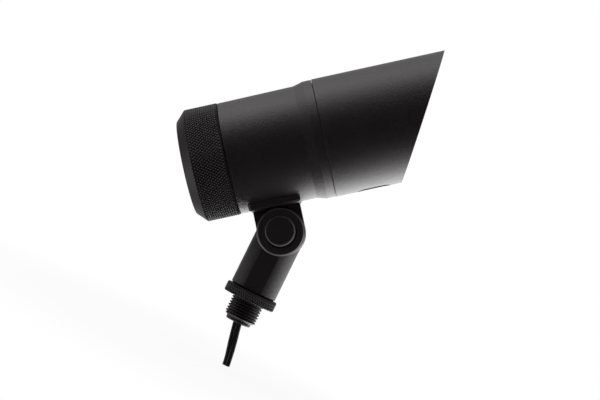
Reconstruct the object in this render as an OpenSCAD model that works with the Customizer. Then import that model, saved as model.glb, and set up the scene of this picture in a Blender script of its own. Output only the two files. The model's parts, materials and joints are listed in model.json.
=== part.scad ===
// Garden uplight: a tilting spot head with a slant-cut glare shroud and a knurled rear cap,
// on a round knuckle stem that ends in a threaded stub with a flat two-core lead.
// Millimetres. The origin is on the stub axis at the lock ring's lower face, +Z runs up
// the stem, the tilt axis lies along Y, and the head points towards +X.

/* [Head position] */
// Elevation of the head axis above a line square to the stem
head_elev = 38.35; // [0:0.05:60]
// Height of the tilt pivot above the lock ring's lower face
pivot_z = 47; // [40:0.1:70]
// Distance from the tilt pivot to the head axis
pivot_drop = 52.45; // [52:0.1:65]
// Distance from the shroud seam back to the pivot, along the head axis
pivot_back = 37.9; // [34:0.05:42]

/* [Housing] */
// Outside diameter of the housing just behind the flare
housing_front_d = 71.4; // [70.4:0.1:76]
// Outside diameter of the housing at the rear cap joint
housing_rear_d = 70.6; // [70.2:0.1:76]
// Length of the housing from the shroud seam to the rear cap joint
housing_l = 60.1; // [58:0.1:80]
// Outside diameter of the straight land in front of the flare
land_d = 74.7; // [73:0.1:80]
// Length of the straight land
land_l = 5.4; // [3:0.1:8]
// Length of the flare between the land and the body
flare_l = 6.2; // [3:0.1:10]
// Inside diameter of the rear chamber
chamber_d = 61.6; // [58:0.1:62]
// Thickness of the web that carries the light engine
web_t = 6; // [4:0.1:9]
// Distance from the seam back to the front face of the web
web_s = 18; // [16:0.1:20]
// Inside diameter of the light chamber in front of the web
light_d = 60; // [58:0.1:61]

/* [Front spigot and lens] */
// Length of the front spigot inside the shroud
spigot_l = 9; // [8:0.1:12]
// Bore that holds the lens and its ring
lens_bore_d = 65.2; // [64.6:0.1:65.4]
// Distance from the seam forward to the lens seat
seat_s = 2.3; // [2:0.1:3]
// Thickness of the lens
lens_t = 3; // [2:0.1:4]
// Thickness of the lens gasket
gasket_t = 1.2; // [0.8:0.1:1.6]
// Inside diameter of the lens ring
lens_ring_id = 57.2; // [50:0.1:60]
// Depth of the ring groove in the front spigot
groove_d = 1.4; // [1.2:0.05:1.5]
// Thickness of the shroud's rubber ring
shroud_oring_t = 1.3; // [1.1:0.05:1.4]

/* [Shroud] */
// Outside diameter of the shroud
shroud_d = 75.1; // [73:0.1:80]
// Wall of the shroud
shroud_wall = 2.2; // [1.6:0.1:2.4]
// Length of the shroud along its long side
shroud_long = 85.6; // [60:0.1:120]
// Length of the shroud along its short side
shroud_short = 41.9; // [38:0.1:59]
// Gap between the housing land and the shroud
seam_gap = 0.3; // [0.2:0.05:0.6]
// Distance from the seam to the near end of the drain slot
slot_s = 13.7; // [11:0.1:15]
// Length of the drain slot
slot_l = 21.2; // [12:0.1:22]
// Width of the drain slot
slot_w = 11.5; // [4:0.1:12]

/* [Rear cap] */
// Outside diameter of the rear cap
cap_d = 71.3; // [70.6:0.1:80]
// Length of the knurled band
cap_band_l = 20.9; // [19:0.1:30]
// Width and depth of the chamfer behind the band
cap_chamfer = 6.1; // [2:0.1:8]
// Gap between the rear cap and the housing
cap_gap = 0.3; // [0.2:0.05:0.6]
// Diameter of the rear spigot that the cap screws onto
rear_spigot_d = 66; // [65:0.1:67]
// Length of the rear spigot
rear_spigot_l = 14; // [12:0.1:17]
// Thickness of the rear wall of the cap
cap_floor = 4.5; // [3:0.1:6]
// Thickness of the rear sealing ring
rear_oring_t = 1.3; // [1:0.05:1.4]

/* [Saddle and lug] */
// Length of the saddle pad along the head
pad_l = 32.5; // [30:0.1:40]
// Width of the saddle pad
pad_w = 32.6; // [28:0.1:34]
// Distance from the head axis to the saddle pad's lower face
pad_face = 36.2; // [36.1:0.1:37]
// Corner radius of the saddle pad
pad_corner = 2.4; // [0.5:0.1:5]
// Chamfer round the saddle pad's lower edge
pad_chamfer = 1; // [0.3:0.1:2]
// Width of the lug across the tilt axis
lug_w = 29.8; // [28:0.1:30]
// Distance from the knuckle's middle plane to the lug's outer face
lug_out = 14.8; // [14:0.1:16]
// Distance between the two lug screws
lug_screw_gap = 19; // [16:0.5:21]
// Diameter of a lug screw
lug_screw_d = 4; // [3:0.1:5]

/* [Knuckle] */
// Diameter of the round cheek on the stem
cheek_d = 30; // [28:0.1:30.4]
// Distance from the knuckle's middle plane to the cheek's outer face
cheek_out = 16; // [15:0.1:18]
// Chamfer round the rims of the knuckle's cheeks
rim_chamfer = 1.1; // [0.3:0.1:1.5]
// Chamfer round the rim of the round cap
cover_chamfer = 0.9; // [0.3:0.1:1.2]
// Thickness of the friction washer between the cheeks
friction_t = 1.2; // [0.8:0.1:2]
// Diameter of the round wire chamber in the middle of the knuckle
wire_chamber_d = 19; // [16:0.1:20]
// Depth of the wire chamber in each cheek
wire_chamber_t = 5; // [3:0.1:5.5]
// Diameter of the boss round the pivot bolt
bolt_boss_d = 9; // [8.5:0.1:10]
// Diameter of the pivot bolt
bolt_d = 6; // [5:0.1:6.2]
// Diameter of the pivot bolt's head
bolt_head_d = 10; // [9:0.1:11]
// Height of the pivot bolt's head
bolt_head_t = 5; // [4:0.1:5.5]
// Width across the flats of the bolt head's hexagon socket
bolt_key = 5; // [4:0.5:6]
// Width across the flats of the pivot nut
nut_flats = 10; // [9:0.1:11]
// Thickness of the pivot nut
nut_t = 4; // [3:0.1:4.4]
// Diameter of the round cap over the nut
cover_d = 19; // [14:0.1:19.4]
// Thickness of the round cap
cover_t = 3.4; // [2.6:0.1:4]
// How far the round cap stands proud of the cheek
cover_proud = 0.7; // [0:0.1:1.5]
// Width of the groove round the cap
cover_gap = 0.5; // [0.3:0.05:0.8]
// How far the cap sits off the middle of its recess
cover_shift = 0.45; // [0:0.05:0.5]

/* [Stem and stub] */
// Diameter of the stem
stem_d = 29.8; // [29:0.1:32]
// Distance from the stem's axis to its milled front and back flats
stem_flat = 13.7; // [13:0.1:14.5]
// Thickness of the sealing washer under the stem
washer_t = 0.6; // [0.4:0.1:2]
// Outside diameter of the sealing washer
washer_d = 28; // [26:0.1:30]
// Thickness of the lock ring
ring_t = 6.25; // [4:0.05:9]
// Outside diameter of the lock ring
ring_d = 33.5; // [32:0.1:34]
// Chamfer on the lock ring's edges
ring_chamfer = 1.2; // [0.3:0.1:1.5]
// Outside diameter of the stub's thread
stub_d = 20.6; // [18:0.1:21.4]
// Length of the exposed thread
thread_l = 11.7; // [8:0.1:20]
// Length of the cone below the thread
cone_l = 1.5; // [0.5:0.1:3]
// Length of the stub's plain tip below the cone
tip_l = 1.9; // [1:0.1:6]
// Diameter of the stub's plain tip
tip_d = 16.3; // [14:0.1:17.5]
// Diameter of the cable bore through the stub
stub_bore_d = 11; // [10:0.1:12]
// Length of the stub inside the stem
stub_root_l = 12; // [8:0.1:13]

/* [Lead] */
// Diameter of one core of the lead, over its insulation
core_d = 3; // [2.2:0.1:3]
// Width of the flat lead
lead_w = 5.7; // [4.8:0.1:6]

/* [Light engine and driver] */
// Diameter of the light engine's board
board_d = 40; // [34:0.1:44]
// Thickness of the boards
board_t = 1.6; // [1:0.1:2]
// Diameter of the light-emitting disc
emitter_d = 14; // [10:0.1:16]
// Outside diameter of the reflector
reflector_d = 58.6; // [54:0.1:58.6]
// Wall of the reflector
reflector_wall = 1.2; // [0.8:0.1:2]
// Diameter of the driver's cup
driver_d = 50; // [44:0.5:52]
// Length of the driver's cup
driver_l = 30; // [24:0.5:34]
// Wall of the driver's cup
driver_wall = 1.6; // [1.2:0.1:2.5]

/* [Hidden] */
$fn = 96;

// Clearances
run_fit = 0.08;      // turning and sliding fits, per side
slip_fit = 0.1;      // pieces that drop into a bore, per side
side_gap = 0.4;      // between the lug's round end and the stem's shoulder
seat_gap = 0.12;     // between the saddle's hollow top and the housing
past = 1;            // how far a cut runs past the face that it opens

// Radii of the head
land_r = land_d / 2;
front_r = housing_front_d / 2;
rear_r = housing_rear_d / 2;
chamber_r = chamber_d / 2;
light_r = light_d / 2;
lens_bore_r = lens_bore_d / 2;
shroud_r = shroud_d / 2;
shroud_bore_r = shroud_r - shroud_wall;
spigot_r = shroud_bore_r - run_fit;
rear_spigot_r = rear_spigot_d / 2;
cap_r = cap_d / 2;
cap_bore_r = rear_spigot_r + run_fit;
edge = 0.4;          // small chamfers on turned edges
seam_edge = 0.15;    // chamfers on both sides of the seam between housing and shroud

// Places along the head axis, measured from the shroud seam
flare_s = land_l + flare_l;
web_back_s = web_s + web_t;
rear_end_s = housing_l + rear_spigot_l;
lens_s = seat_s + gasket_t;
ring_s = lens_s + lens_t;
groove_w = shroud_oring_t + 0.3;
groove_s = spigot_l - 2.4 - groove_w;

// Rear cap
cap_mouth_s = housing_l + cap_gap;
cap_band_s = housing_l + cap_band_l;
cap_rear_s = cap_band_s + cap_chamfer;
cap_bore_s = rear_end_s + 0.6;
cap_hollow_r = 28;
cap_groove_s = cap_mouth_s + 3.2;
cap_groove_w = rear_oring_t + 0.3;
cap_groove_r = rear_spigot_r + rear_oring_t + 0.1;

// Light engine
board_front_s = web_s - board_t;
holder_t = 2.4;
holder_s = board_front_s - holder_t;
throat_r = emitter_d / 2 + 1.2;
reflector_front_s = lens_s - 0.3;
board_screw_at = board_d / 2 - 3.6;
wire_hole_at = 16.5;
wire_hole_d = 5;
wire_d = 1.8;
wire_pitch = 2.2;
small_screw_d = 2.5;
small_head_d = 5;
small_head_t = 2;

// Driver
driver_end_s = web_back_s + driver_l;
driver_floor_s = web_back_s + driver_wall;
driver_post_l = 7.4;
driver_post_d = 4;
driver_post_at = driver_d / 2 - driver_wall - driver_post_d / 2 - 2.4;
terminal_h = 7;
terminal_at = driver_d / 2 - terminal_h - 7;
driver_board_s = driver_floor_s + driver_post_l;
driver_board_d = driver_d - 2 * driver_wall - 0.6;
driver_screw_at = 8;

// Lug screws: their heads sit on spot faces inside the rear chamber
friction_y = friction_t / 2;
lug_mid_y = (friction_y + lug_out) / 2;
lug_head_d = 7;
lug_head_t = 3.6;
spot_face_up = chamber_r + 0.4;
lug_screw_depth = 8;
head_way_y = friction_y + 3.8;
head_way_d = 5;

// Knuckle
cheek_r = cheek_d / 2;
lug_r = lug_w / 2;
cover_floor = cheek_out + cover_proud - cover_t;
cover_way = [-0.6, 0, 0.8]; // which way the cap sits off the middle
nut_out = cover_floor - 0.3;
bolt_seat = lug_out - bolt_head_t - 1.4;
bolt_washer_t = 1;
bolt_hole_d = bolt_d + 2 * run_fit;
shoulder_z = pivot_z - lug_r - side_gap;
stem_z = ring_t + washer_t;
stem_r = stem_d / 2;

// Stub
stub_r = stub_d / 2;
shank_r = stub_r - 0.3;
stub_l = thread_l + cone_l + tip_l;
tip_r = tip_d / 2;
tip_chamfer = 0.6;
stub_top_z = stem_z + stub_root_l;

// Wire way through the stem, and the lead inside it
way_y = -4.6;
way_d = 6.8;
way_top = pivot_z - wire_chamber_d / 2 + 2;
core_x = (lead_w - core_d) / 2;
bush_z = -8;         // where the free lead starts
bush_top_z = 3;

// Route of the lead inside the stub and the stem, chosen by hand
INSIDE = [[0, 0, -8], [0, 0, 5], [0, -0.6, 9], [0, -1.8, 13], [0, -3.2, 17], [0, -4.3, 21],
          [0, -4.6, 25], [0, -4.6, 38]];

// Route of the free lead below its bush, chosen by hand
CORD = [[0, 0, -8], [0, 0, -9.5], [-0.1, 0, -11], [-0.2, 0, -12.5], [-0.2, 0, -13.8],
        [0, 0, -15.2], [0.4, 0, -17.1], [0.8, 0, -19.1], [1.2, 0, -21.1], [1.65, 0, -23.1],
        [2.1, 0, -25.1], [2.5, 0, -27.1], [2.95, 0, -29.1], [3.4, 0, -31.1], [3.8, 0, -33.1],
        [4.2, 0, -35.1], [4.55, 0, -37.1], [4.9, 0, -39.1], [5.15, 0, -40.8], [5.3, 0, -42.3]];

// Places what is drawn round the head axis, with the seam at the origin and +X forward
module on_head() {
    translate([0, 0, pivot_z])
        rotate([0, -head_elev, 0])
            translate([pivot_back, 0, pivot_drop])
                children();
}

// Places what is drawn round Z on the tilt axis, with +Z towards the cheek's outer face
module on_tilt_axis() {
    translate([0, 0, pivot_z]) rotate([90, 0, 0]) children();
}

// The same place, for pieces that are drawn in the head's own position
module on_lug_axis() {
    translate([-pivot_back, 0, -pivot_drop]) rotate([90, 0, 0]) children();
}

// A solid of revolution round the head axis, from [radius, distance] points
module turned(points) {
    rotate([0, 90, 0]) rotate_extrude() polygon(points);
}

// A cylinder along the head axis that starts at s
module rod(d, s, l, side = 0, up = 0) {
    translate([s, side, up]) rotate([0, 90, 0]) cylinder(d = d, h = l);
}

// A cylinder square to the head axis, from up = low to up = high
module post(d, s, side, low, high) {
    translate([s, side, low]) cylinder(d = d, h = high - low);
}

// A disc from z0 to z1 with a chamfer on the rim at z1
module chamfered_disc(r, z0, z1, c) {
    rotate_extrude()
        polygon([[0, z0], [r, z0], [r, z1 - c], [r - c, z1], [0, z1]]);
}

// A flat rectangle with round corners
module round_rectangle(l, w, r) {
    square([l - 2 * r, w], center = true);
    square([l, w - 2 * r], center = true);
    for (x = [-1, 1], y = [-1, 1])
        translate([x * (l / 2 - r), y * (w / 2 - r)]) circle(r);
}

// A rubber ring of round section, on the head axis
module oring(r, t, s) {
    rotate([0, 90, 0]) translate([0, 0, s]) rotate_extrude() translate([r, 0]) circle(d = t, $fn = 24);
}

// A small screw on the head axis's side: its head rests at s and it points towards -X
module small_screw(s, side, l) {
    difference() {
        union() {
            rod(small_screw_d, s - l, l + small_head_t / 2, side);
            rod(small_head_d, s, small_head_t, side);
        }
        translate([s + small_head_t - 1, side, 0])
            rotate([0, 90, 0]) cylinder(d = 2.6, h = 1 + past, $fn = 6);
    }
}

// Outside of the housing behind the flare, as one tapered solid that is larger by gap
module housing_skin(gap = 0) {
    turned([[0, -housing_l], [rear_r + gap, -housing_l], [front_r + gap, -flare_s],
            [0, -flare_s]]);
}

// The tapered housing with its flare, both spigots, its web and its bores
module housing() {
    color("#1c1c1e") on_head() difference() {
        turned([
            [lens_bore_r, spigot_l], [spigot_r - edge, spigot_l], [spigot_r, spigot_l - edge],
            [spigot_r, groove_s + groove_w], [spigot_r - groove_d, groove_s + groove_w],
            [spigot_r - groove_d, groove_s], [spigot_r, groove_s], [spigot_r, 0],
            [land_r - seam_edge, 0], [land_r, -seam_edge], [land_r, -land_l], [front_r, -flare_s],
            [rear_r, edge - housing_l], [rear_r - edge, -housing_l],
            [rear_spigot_r, -housing_l], [rear_spigot_r, edge - rear_end_s],
            [rear_spigot_r - edge, -rear_end_s], [chamber_r, -rear_end_s],
            [chamber_r, -web_back_s], [0, -web_back_s], [0, -web_s], [light_r, -web_s],
            [light_r, seat_s], [lens_bore_r, seat_s]]);
        rod(wire_hole_d, -web_back_s - past, web_t + 2 * past, 0, wire_hole_at);
        for (side = [-1, 1]) {
            rod(small_screw_d, -web_s - 4.5, 4.5 + past, side * board_screw_at);
            rod(small_screw_d, -web_back_s - past, 4.5 + past, side * driver_screw_at);
            post(lug_screw_d + 2 * slip_fit, -pivot_back + side * lug_screw_gap / 2, lug_mid_y,
                 -pad_face, 0);
            post(lug_head_d + 1, -pivot_back + side * lug_screw_gap / 2, lug_mid_y,
                 -spot_face_up, -chamber_r / 2);
        }
        post(head_way_d, -pivot_back, head_way_y, -pad_face, 0);
    }
}

// The screw cap that closes the rear chamber
module rear_cap() {
    color("#1a1a1c") on_head() turned([
        [cap_bore_r, -cap_mouth_s], [cap_r - edge, -cap_mouth_s], [cap_r, -cap_mouth_s - edge],
        [cap_r, -cap_band_s], [cap_r - cap_chamfer, -cap_rear_s], [0, -cap_rear_s],
        [0, cap_floor - cap_rear_s], [cap_hollow_r, cap_floor - cap_rear_s],
        [cap_hollow_r, -cap_bore_s], [cap_bore_r, -cap_bore_s],
        [cap_bore_r, -cap_groove_s - cap_groove_w], [cap_groove_r, -cap_groove_s - cap_groove_w],
        [cap_groove_r, -cap_groove_s], [cap_bore_r, -cap_groove_s]]);
}

// Sealing ring in the rear cap's groove
module rear_oring() {
    color("#222222") on_head()
        oring(rear_spigot_r + 0.05 + rear_oring_t / 2, rear_oring_t,
              -cap_groove_s - cap_groove_w / 2);
}

// The glare shroud: a tube cut on the slant, with a drain slot in its underside
module shroud() {
    slant = atan((shroud_long - shroud_short) / shroud_d);
    color("#1e1e20") on_head() difference() {
        turned([[shroud_bore_r, seam_gap], [shroud_r - seam_edge, seam_gap],
                [shroud_r, seam_gap + seam_edge], [shroud_r, shroud_long + past],
                [shroud_bore_r, shroud_long + past]]);
        translate([shroud_long, 0, shroud_r]) rotate([0, slant, 0])
            translate([0, -shroud_d, -3 * shroud_d]) cube([shroud_d, 2 * shroud_d, 4 * shroud_d]);
        translate([slot_s + slot_l / 2, 0, -shroud_r - past])
            linear_extrude(shroud_wall + 4 * past)
                round_rectangle(slot_l, slot_w, slot_w / 2 - 0.01);
    }
}

// Rubber ring in the front spigot's groove that grips the shroud
module shroud_oring() {
    color("#222222") on_head()
        oring(spigot_r - groove_d + 0.02 + shroud_oring_t / 2, shroud_oring_t,
              groove_s + groove_w / 2);
}

// Clear front glass with a chamfered edge
module lens() {
    r = lens_bore_r - 3 * slip_fit;
    color([0.8, 0.9, 0.95, 0.4]) on_head()
        turned([[0, lens_s], [r - edge, lens_s], [r, lens_s + edge], [r, ring_s - edge],
                [r - edge, ring_s], [0, ring_s]]);
}

// Flat gasket behind the lens
module lens_gasket() {
    color("#303030") on_head()
        turned([[light_r, seat_s], [lens_bore_r - 3 * slip_fit, seat_s],
                [lens_bore_r - 3 * slip_fit, lens_s], [light_r, lens_s]]);
}

// Threaded ring that holds the lens, with two key slots
module lens_ring() {
    color("#242426") on_head() difference() {
        turned([[lens_ring_id / 2, ring_s], [lens_bore_r - slip_fit, ring_s],
                [lens_bore_r - slip_fit, spigot_l], [lens_ring_id / 2 + edge, spigot_l],
                [lens_ring_id / 2, spigot_l - edge]]);
        translate([spigot_l, 0, 0])
            cube([(spigot_l - ring_s), 2, lens_bore_d], center = true);
    }
}

// Bright parabolic reflector
module reflector() {
    steps = 12;
    r1 = reflector_d / 2 - reflector_wall;
    inside = [for (i = [0:steps])
        [sqrt(throat_r * throat_r + (r1 * r1 - throat_r * throat_r) * i / steps),
         -holder_s + (reflector_front_s + holder_s) * i / steps]];
    outside = [for (i = [steps:-1:0]) [inside[i][0] + reflector_wall, inside[i][1]]];
    color("#d8d8dc") on_head() turned(concat(inside, outside));
}

// Metal-core board on the web's front face
module led_board() {
    color("#e8e8e4") on_head() difference() {
        rod(board_d, -web_s, board_t);
        rod(wire_hole_d, -web_s - past, board_t + 2 * past, 0, wire_hole_at);
        for (side = [-1, 1])
            rod(small_screw_d + 2 * slip_fit, -web_s - past, board_t + 2 * past,
                side * board_screw_at);
    }
}

// Round light-emitting disc on the board
module led_emitter() {
    color("#e8c840") on_head() rod(emitter_d, -board_front_s, 1.2);
}

// Ring that centres the reflector over the emitter
module emitter_holder() {
    color("#f0f0f0") on_head()
        turned([[emitter_d / 2 + 2 * slip_fit, -board_front_s], [13, -board_front_s],
                [13, -holder_s - edge], [13 - edge, -holder_s],
                [emitter_d / 2 + 2 * slip_fit, -holder_s]]);
}

// Two screws that hold the board to the web
module board_screws() {
    color("#a8a8ac") on_head()
        for (side = [-1, 1]) small_screw(-board_front_s, side * board_screw_at, 5.6);
}

// Insulating cup behind the web, with posts for the driver's board
module driver_cup() {
    color("#e6e6e0") on_head() difference() {
        union() {
            difference() {
                rod(driver_d, -driver_end_s, driver_l);
                rod(driver_d - 2 * driver_wall, -driver_end_s - past, driver_l - driver_wall + past);
            }
            for (a = [60, 180, 300])
                rod(driver_post_d, -driver_board_s, driver_post_l, driver_post_at * sin(a),
                    driver_post_at * cos(a));
        }
        rod(wire_hole_d, -driver_floor_s - past, driver_wall + 2 * past, 0, wire_hole_at);
        for (side = [-1, 1])
            rod(small_screw_d + 2 * slip_fit, -driver_floor_s - past, driver_wall + 2 * past,
                side * driver_screw_at);
    }
}

// Driver board with its transformer, capacitors, control chip and terminals
module driver_board() {
    board_back = -driver_board_s - board_t;
    color("#2a6a3a") on_head() union() {
        rod(driver_board_d, board_back, board_t);
        translate([board_back - 11, -9, -6]) cube([11, 14, 13]);
        rod(8, board_back - 13, 13, 12, 6);
        rod(6.3, board_back - 9, 9, 12, -6);
        translate([board_back - 1.6, -4, -16]) cube([1.6, 8, 6]);
        translate([board_back - 8, -8, terminal_at]) cube([8, 16, terminal_h]);
    }
}

// Two screws that hold the driver's cup to the web
module driver_screws() {
    color("#a8a8ac") on_head()
        for (side = [-1, 1]) translate([-driver_floor_s, side * driver_screw_at, 0])
            mirror([1, 0, 0]) small_screw(0, 0, 5.6);
}

// Two wires from the driver's board to the light engine
module led_leads() {
    color("#b02020") on_head()
        for (side = [-1, 1])
            rod(wire_d, -driver_board_s, driver_board_s - board_front_s + 0.4,
                side * wire_pitch / 2, wire_hole_at);
}

// Two wires from the knuckle's wire chamber up to the driver
module head_leads() {
    color("#c8c8c8") on_head()
        for (side = [-1, 1])
            post(wire_d, -pivot_back + side * wire_pitch / 2, head_way_y,
                 wire_chamber_d / 2 - 1 - pivot_drop, -driver_d / 2);
}

// A bar of length l along Y, its lower corners chamfered, its lower face at Z = 0
module chamfered_bar(l, w, h) {
    rotate([90, 0, 0]) linear_extrude(l, center = true)
        polygon([[pad_chamfer - w / 2, 0], [w / 2 - pad_chamfer, 0], [w / 2, pad_chamfer],
                 [w / 2, h], [-w / 2, h], [-w / 2, pad_chamfer]]);
}

// Saddle between the round housing and the flat-topped lug
module saddle_pad() {
    pad_h = pad_face - chamber_r / 2;
    color("#161618") on_head() difference() {
        translate([-pivot_back, 0, -pad_face]) intersection() {
            linear_extrude(pad_h) round_rectangle(pad_l, pad_w, pad_corner);
            chamfered_bar(pad_w + past, pad_l, pad_h + past);
            rotate([0, 0, 90]) chamfered_bar(pad_l + past, pad_w, pad_h + past);
        }
        housing_skin(seat_gap);
        translate([-pivot_back - pad_l, -pad_w, -chamber_r])
            cube([2 * pad_l, 2 * pad_w, chamber_r]);
        post(head_way_d, -pivot_back, head_way_y, -pad_face - past, 0);
        for (side = [-1, 1])
            post(lug_screw_d + 2 * slip_fit, -pivot_back + side * lug_screw_gap / 2, lug_mid_y,
                 -pad_face - past, 0);
    }
}

// The head's half of the knuckle: a flat-sided lug with a round end and a wire chamber
module head_lug() {
    color("#161618") on_head() difference() {
        union() {
            on_lug_axis() mirror([0, 0, 1])
                chamfered_disc(lug_r, friction_y, lug_out, rim_chamfer);
            translate([-pivot_back - lug_r, friction_y, -pivot_drop])
                cube([lug_w, lug_out - friction_y, pivot_drop - pad_face]);
        }
        on_lug_axis() mirror([0, 0, 1]) {
            translate([0, 0, friction_y - past]) difference() {
                cylinder(d = wire_chamber_d, h = wire_chamber_t + past);
                cylinder(d = bolt_boss_d, h = wire_chamber_t + past);
            }
            cylinder(d = bolt_hole_d, h = lug_out);
            translate([0, 0, bolt_seat]) cylinder(d = bolt_head_d + 0.8, h = lug_out);
        }
        post(head_way_d, -pivot_back, head_way_y, wire_chamber_d / 2 - 2 - pivot_drop,
             past - pad_face);
        for (side = [-1, 1])
            post(lug_screw_d, -pivot_back + side * lug_screw_gap / 2, lug_mid_y,
                 -pad_face - lug_screw_depth - 0.5, past - pad_face);
    }
}

// Two socket screws from inside the housing into the lug
module lug_screws() {
    color("#a8a8ac") on_head()
        for (side = [-1, 1]) translate([-pivot_back + side * lug_screw_gap / 2, lug_mid_y, 0])
            difference() {
                union() {
                    translate([0, 0, -pad_face - lug_screw_depth])
                        cylinder(d = lug_screw_d, h = pad_face + lug_screw_depth - spot_face_up + 1);
                    translate([0, 0, -spot_face_up]) cylinder(d = lug_head_d, h = lug_head_t);
                }
                translate([0, 0, lug_head_t - spot_face_up - 2])
                    cylinder(d = 3.4, h = 2 + past, $fn = 6);
            }
}

// Round stem with two milled flats, the round cheek with its recesses, and the bores
module stem() {
    color("#1c1c1e") difference() {
        union() {
            intersection() {
                rotate_extrude() polygon([[0, stem_z], [stem_r - edge, stem_z],
                    [stem_r, stem_z + edge], [stem_r, pivot_z], [0, pivot_z]]);
                translate([-stem_d, -stem_flat, 0]) cube([2 * stem_d, 2 * stem_flat, 2 * pivot_z]);
            }
            on_tilt_axis() chamfered_disc(cheek_r, friction_y, cheek_out, rim_chamfer);
        }
        translate([-stem_d, -friction_y, shoulder_z]) cube([2 * stem_d, stem_d, pivot_z]);
        on_tilt_axis() {
            cylinder(d = bolt_hole_d, h = cheek_out + past);
            difference() {
                cylinder(d = wire_chamber_d, h = friction_y + wire_chamber_t);
                cylinder(d = bolt_boss_d, h = cheek_out);
            }
            translate([0, 0, nut_out - nut_t - 0.1]) rotate([0, 0, 30])
                cylinder(d = (nut_flats + 0.2) / cos(30), h = cheek_out, $fn = 6);
            translate([0, 0, cover_floor])
                cylinder(d = cover_d + 2 * cover_gap, h = cheek_out);
        }
        translate([0, way_y, stub_top_z - past]) cylinder(d = way_d, h = way_top - stub_top_z + past);
        translate([0, 0, stem_z - past])
            cylinder(r = shank_r + 0.05, h = stub_root_l + past);
    }
}

// Washer that gives the tilt joint its friction
module friction_washer() {
    color("#303034") on_tilt_axis() translate([0, 0, -friction_y]) difference() {
        cylinder(r = cheek_r - 0.8, h = friction_t);
        translate([0, 0, -past]) cylinder(d = wire_chamber_d + 1, h = friction_t + 2 * past);
    }
}

// Socket bolt through both cheeks
module pivot_bolt() {
    head = bolt_seat + bolt_washer_t;
    color("#8c8c90") on_tilt_axis() mirror([0, 0, 1]) difference() {
        union() {
            translate([0, 0, -nut_out + 0.2]) cylinder(d = bolt_d, h = head + nut_out);
            translate([0, 0, head]) rotate_extrude()
                polygon([[0, 0], [bolt_head_d / 2, 0],
                         [bolt_head_d / 2, bolt_head_t - bolt_washer_t + 0.6],
                         [bolt_head_d / 2 - edge, bolt_head_t - bolt_washer_t + 1],
                         [0, bolt_head_t - bolt_washer_t + 1]]);
        }
        translate([0, 0, head + bolt_head_t - 2.8])
            cylinder(d = bolt_key / cos(30), h = 2.8 + past, $fn = 6);
    }
}

// Washer under the bolt's head
module bolt_washer() {
    color("#9a9a9e") on_tilt_axis() mirror([0, 0, 1]) translate([0, 0, bolt_seat])
        difference() {
            cylinder(d = bolt_head_d + 0.2, h = bolt_washer_t);
            translate([0, 0, -past])
                cylinder(d = bolt_d + 2 * slip_fit, h = bolt_washer_t + 2 * past);
        }
}

// Captive hexagon nut in the cheek
module pivot_nut() {
    color("#9a9a9e") on_tilt_axis() translate([0, 0, nut_out - nut_t]) difference() {
        rotate([0, 0, 30]) cylinder(d = nut_flats / cos(30), h = nut_t, $fn = 6);
        translate([0, 0, -past]) cylinder(d = bolt_hole_d, h = nut_t + 2 * past);
    }
}

// Round cap that covers the nut
module pivot_cap() {
    color("#1a1a1c") translate(cover_shift * cover_way) on_tilt_axis()
        chamfered_disc(cover_d / 2, cover_floor, cheek_out + cover_proud, cover_chamfer);
}

// Hollow stub: a shank in the stem, the exposed thread, a cone and a plain chamfered tip
module threaded_stub() {
    bore_r = stub_bore_d / 2;
    color("#1c1c1e") rotate_extrude() polygon([
        [bore_r, -stub_l], [tip_r - tip_chamfer, -stub_l], [tip_r, tip_chamfer - stub_l],
        [tip_r, -thread_l - cone_l], [stub_r, -thread_l], [stub_r, 0], [shank_r, 0],
        [shank_r, stub_top_z - edge], [shank_r - edge, stub_top_z], [bore_r, stub_top_z]]);
}

// Flat sealing washer between the stem and the lock ring
module seal_washer() {
    color("#202020") translate([0, 0, ring_t]) difference() {
        cylinder(d = washer_d, h = washer_t);
        translate([0, 0, -past]) cylinder(r = stub_r + slip_fit, h = washer_t + 2 * past);
    }
}

// Lock ring that runs on the stub's thread
module lock_ring() {
    r = ring_d / 2;
    bore_r = stub_r + run_fit;
    color("#1c1c1e") rotate_extrude() polygon([
        [bore_r, 0], [r - ring_chamfer, 0], [r, ring_chamfer], [r, ring_t - ring_chamfer],
        [r - ring_chamfer, ring_t], [bore_r, ring_t]]);
}

// One stretch of the flat lead's section, as two touching cores grown by gap
module lead_cores(gap = 0) {
    for (x = [-core_x, core_x]) translate([x, 0]) circle(d = core_d + 2 * gap, $fn = 48);
    square([2 * core_x, core_d * 0.6 + 2 * gap], center = true);
}

// Rubber bush that seals the lead into the stub
module cord_bush() {
    color("#181818") translate([0, 0, bush_z]) linear_extrude(bush_top_z - bush_z)
        difference() {
            circle(d = stub_bore_d - 0.1);
            lead_cores(0.05);
        }
}

// Corners of the flat lead's section, a figure of eight: x along its width, y across it
function lead_section() = [
    for (a = [-75, -37.5, 0, 37.5, 75]) [core_x + core_d / 2 * cos(a), core_d / 2 * sin(a)],
    [0, core_d * 0.28],
    for (a = [105, 142.5, 180, 217.5, 255]) [-core_x + core_d / 2 * cos(a), core_d / 2 * sin(a)],
    [0, -core_d * 0.28]];

// The flat lead swept along a route, its width kept as near to X as the route lets it
module swept_lead(route) {
    section = lead_section();
    sides = len(section);
    last = len(route) - 1;
    function along(i) = let(d = route[min(i + 1, last)] - route[max(i - 1, 0)]) d / norm(d);
    function wide(t) = let(w = [1, 0, 0] - t[0] * t) w / norm(w);
    function ring(i) = let(t = along(i), w = wide(t), n = cross(w, t))
        [for (p = section) route[i] + p[0] * w + p[1] * n];
    points = [for (i = [0:last]) each ring(i)];
    walls = [for (i = [0:last - 1], k = [0:sides - 1]) let(a = i * sides, n = (k + 1) % sides)
        each [[a + k, a + n, a + sides + n], [a + k, a + sides + n, a + sides + k]]];
    start = [for (k = [sides - 1:-1:0]) k];
    end = [for (k = [0:sides - 1]) last * sides + k];
    polyhedron(points, concat(walls, [start, end]));
}

// The lead inside the bush, the stub and the stem, up to the wire chamber
module inner_lead() {
    color("#202020") swept_lead(INSIDE);
}

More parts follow.
